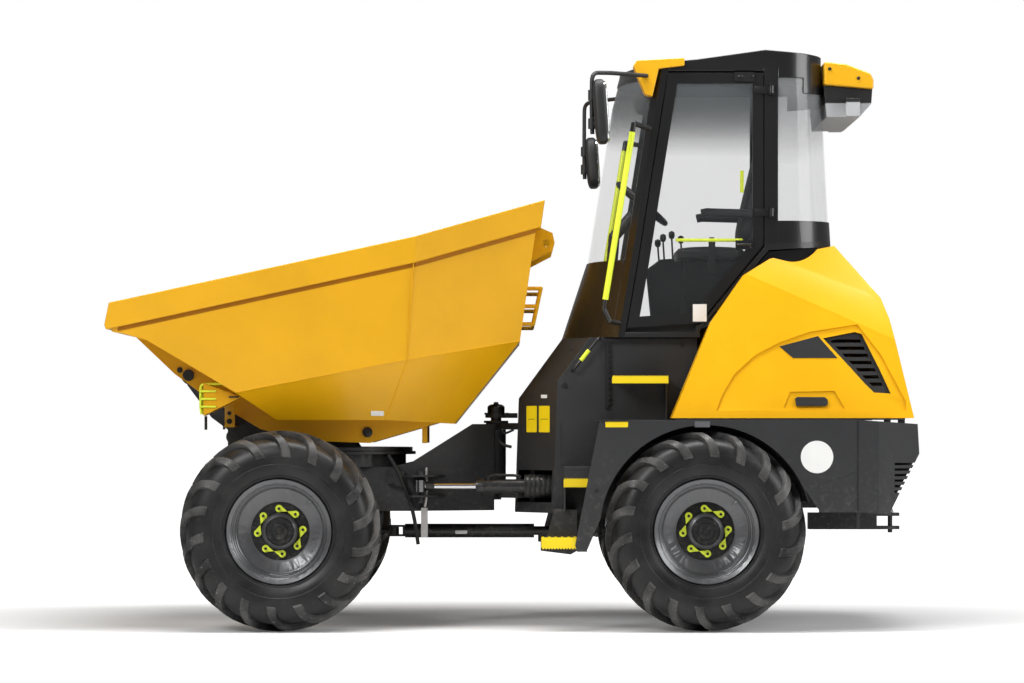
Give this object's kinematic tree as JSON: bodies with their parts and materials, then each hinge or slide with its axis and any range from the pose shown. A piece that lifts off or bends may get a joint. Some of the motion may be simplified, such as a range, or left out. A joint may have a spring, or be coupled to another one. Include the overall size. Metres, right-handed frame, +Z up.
{
  "type": "site dumper",
  "caption": "Articulated site dumper with an enclosed cab over the rear frame and a swivelling, tipping skip on the front frame.",
  "frame": {"origin": "on the ground, at the middle of the machine's overall length and width", "axes": "+X towards the skip's lip, +Y towards the machine's left, +Z up"},
  "size_m": [4.72, 2.42, 3.396],
  "materials": {
    "yellow_paint": "gloss",
    "grey_paint": "satin",
    "black_steel": "satin",
    "black_plastic": "matte",
    "yellow_plastic": "gloss",
    "tyre_rubber": "matte",
    "rim_grey": "satin",
    "plated_steel": "polished",
    "bright_rail": "gloss",
    "clear_glass": "polished",
    "seat_vinyl": "matte"
  },
  "bodies": {
    "rear_frame": {"rear_chassis": "grey_paint", "rear_axle": "black_steel", "tower": "grey_paint", "mudguards": "grey_paint", "access_steps": "grey_paint", "bottom_steps": "grey_paint", "engine_block": "black_steel", "bumper": "grey_paint", "tail_lamps": "black_plastic", "tow_hitch": "black_steel", "cab_floor": "black_steel", "cab_front_panel": "black_steel", "cab_rear_panel": "black_steel", "cab_posts": "black_steel", "cab_roof": "black_steel", "windscreen": "clear_glass", "rear_glass": "clear_glass", "side_glass": "clear_glass", "roof_caps": "yellow_plastic", "rear_visor": "yellow_plastic", "visor_housing": "black_plastic", "mirrors": "black_plastic", "grab_rails": "bright_rail", "seat_base": "black_plastic", "seat_cushion": "seat_vinyl", "seat_back": "seat_vinyl", "steering_column": "black_plastic", "console": "black_plastic"},
    "front_frame": {"front_chassis": "grey_paint", "front_axle": "black_steel", "turntable": "black_steel"},
    "wheel_front_left": {"tyre_fl": "tyre_rubber", "rim_fl": "rim_grey"},
    "wheel_front_right": {"tyre_fr": "tyre_rubber", "rim_fr": "rim_grey"},
    "wheel_rear_left": {"tyre_rl": "tyre_rubber", "rim_rl": "rim_grey"},
    "wheel_rear_right": {"tyre_rr": "tyre_rubber", "rim_rr": "rim_grey"},
    "steering_ram_barrel": {"steer_barrel": "black_steel"},
    "steering_ram_rod": {"steer_rod": "plated_steel"},
    "prop_shaft_rear": {"prop_rear": "black_steel"},
    "prop_shaft_front": {"prop_front": "black_steel"},
    "swivel_frame": {"swivel_frame": "black_steel", "lamp_guards": "yellow_paint", "front_lamps": "black_plastic"},
    "tip_ram_barrel": {"tip_barrel": "black_steel"},
    "tip_ram_rod": {"tip_rod": "plated_steel"},
    "skip": {"skip_pan": "yellow_paint", "skip_sides": "yellow_paint", "skip_rim": "yellow_paint", "skip_beams": "yellow_paint"},
    "door": {"door_frame": "black_steel", "door_glass": "clear_glass"},
    "bonnet": {"bonnet": "yellow_paint", "bonnet_grilles": "black_plastic", "bonnet_trim": "black_plastic"}
  },
  "joints": [
    {"name": "articulation", "type": "hinge", "parent": "rear_frame", "child": "front_frame", "pos_m": [0.106, 0, 0.98], "axis": [0, 0, 1], "range_deg": [-30, 30]},
    {"name": "skip_swivel", "type": "hinge", "parent": "front_frame", "child": "swivel_frame", "pos_m": [1.08, 0, 1.04], "axis": [0, 0, -1], "range_deg": [-90, 90]},
    {"name": "skip_tip", "type": "hinge", "parent": "swivel_frame", "child": "skip", "pos_m": [1.926, 0, 1.488], "axis": [0, 1, 0], "range_deg": [0, 70]},
    {"name": "tip_ram_swing", "type": "hinge", "parent": "swivel_frame", "child": "tip_ram_barrel", "pos_m": [1.688, 0, 1.122], "axis": [0, 1, 0], "range_deg": [0, 69.15]},
    {"name": "tip_ram_stroke", "type": "slide", "parent": "tip_ram_barrel", "child": "tip_ram_rod", "axis": [-0.9996, 0, 0.028], "range_m": [0, 0.5022]},
    {"name": "steering_ram_swing", "type": "hinge", "parent": "rear_frame", "child": "steering_ram_barrel", "pos_m": [-0.4, 0.45, 0.831], "axis": [0, 0, 1], "range_deg": [-15, 15]},
    {"name": "steering_ram_stroke", "type": "slide", "parent": "steering_ram_barrel", "child": "steering_ram_rod", "axis": [1, 0, 0], "range_m": [-0.24, 0.24]},
    {"name": "prop_joint_rear", "type": "hinge", "parent": "rear_frame", "child": "prop_shaft_rear", "pos_m": [-0.514, 0, 0.555], "axis": [0, 0, 1], "range_deg": [-15.5, 15.5]},
    {"name": "prop_joint_front", "type": "hinge", "parent": "front_frame", "child": "prop_shaft_front", "pos_m": [0.726, 0, 0.555], "axis": [0, 0, 1], "range_deg": [-15.5, 15.5]},
    {"name": "spin_front_left", "type": "hinge", "parent": "front_frame", "child": "wheel_front_left", "pos_m": [1.35, 0.96, 0.58], "axis": [0, 1, 0], "continuous": true},
    {"name": "spin_front_right", "type": "hinge", "parent": "front_frame", "child": "wheel_front_right", "pos_m": [1.35, -0.96, 0.58], "axis": [0, 1, 0], "continuous": true},
    {"name": "spin_rear_left", "type": "hinge", "parent": "rear_frame", "child": "wheel_rear_left", "pos_m": [-1.106, 0.96, 0.58], "axis": [0, 1, 0], "continuous": true},
    {"name": "spin_rear_right", "type": "hinge", "parent": "rear_frame", "child": "wheel_rear_right", "pos_m": [-1.106, -0.96, 0.58], "axis": [0, 1, 0], "continuous": true},
    {"name": "door_swing", "type": "hinge", "parent": "rear_frame", "child": "door", "pos_m": [-1.51, 0.706, 2.7], "axis": [0, 0, 1], "range_deg": [0, 90]},
    {"name": "bonnet_tilt", "type": "hinge", "parent": "rear_frame", "child": "bonnet", "pos_m": [-2.3, 0, 1.243], "axis": [0, -1, 0], "range_deg": [0, 55]}
  ],
  "couplings": [
    {"joint": "tip_ram_swing", "follows": "skip_tip", "ratio": 0.98071},
    {"joint": "tip_ram_stroke", "follows": "skip_tip", "m_per_rad": 0.40943},
    {"joint": "steering_ram_swing", "follows": "articulation", "ratio": 0.46615},
    {"joint": "steering_ram_stroke", "follows": "articulation", "m_per_rad": -0.44481},
    {"joint": "prop_joint_rear", "follows": "articulation", "ratio": 0.5},
    {"joint": "prop_joint_front", "follows": "articulation", "ratio": -0.5}
  ]
}
